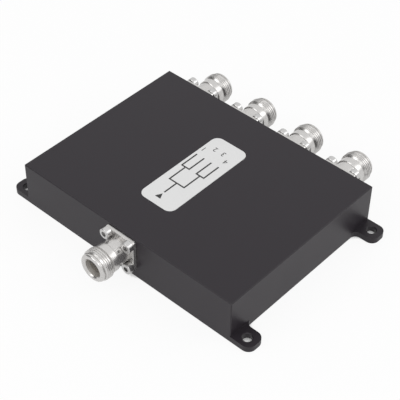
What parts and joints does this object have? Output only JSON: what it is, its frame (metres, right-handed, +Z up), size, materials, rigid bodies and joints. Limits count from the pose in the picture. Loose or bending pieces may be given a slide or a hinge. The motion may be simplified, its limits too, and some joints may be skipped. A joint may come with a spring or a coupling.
{
  "type": "rf power splitter",
  "caption": "Flat black metal box that divides a radio signal from a threaded coaxial socket at its front among sockets at its back, with screw ears at its corners.",
  "frame": {"origin": "middle of the underside, which is also the bottom centre of the whole part", "axes": "+X along the input face towards the right, +Y from the input socket to the output sockets, +Z up out of the labelled top"},
  "size_m": [0.152, 0.1388, 0.0242],
  "materials": {
    "black_anodised": "satin black anodised",
    "bright_nickel": "bright nickel plate on brass",
    "screw_steel": "bright steel",
    "white_resin": "waxy white fluoroplastic",
    "gold_contact": "gold plate",
    "laminate": "glass laminate",
    "copper": "etched copper",
    "resistor_body": "glazed chip",
    "label_film": "matt printed film"
  },
  "bodies": {
    "root": {"housing": "black_anodised", "bottom_cover": "black_anodised", "cover_screws": "screw_steel", "circuit_board": "laminate", "copper_traces": "copper", "isolation_resistors": "resistor_body", "board_screws": "screw_steel", "label": "label_film", "input_shell": "bright_nickel", "input_insulator": "white_resin", "input_contact": "gold_contact", "input_flange_screws": "screw_steel", "output_1_shell": "bright_nickel", "output_1_insulator": "white_resin", "output_1_contact": "gold_contact", "output_1_flange_screws": "screw_steel", "output_2_shell": "bright_nickel", "output_2_insulator": "white_resin", "output_2_contact": "gold_contact", "output_2_flange_screws": "screw_steel", "output_3_shell": "bright_nickel", "output_3_insulator": "white_resin", "output_3_contact": "gold_contact", "output_3_flange_screws": "screw_steel", "output_4_shell": "bright_nickel", "output_4_insulator": "white_resin", "output_4_contact": "gold_contact", "output_4_flange_screws": "screw_steel"}
  },
  "joints": []
}
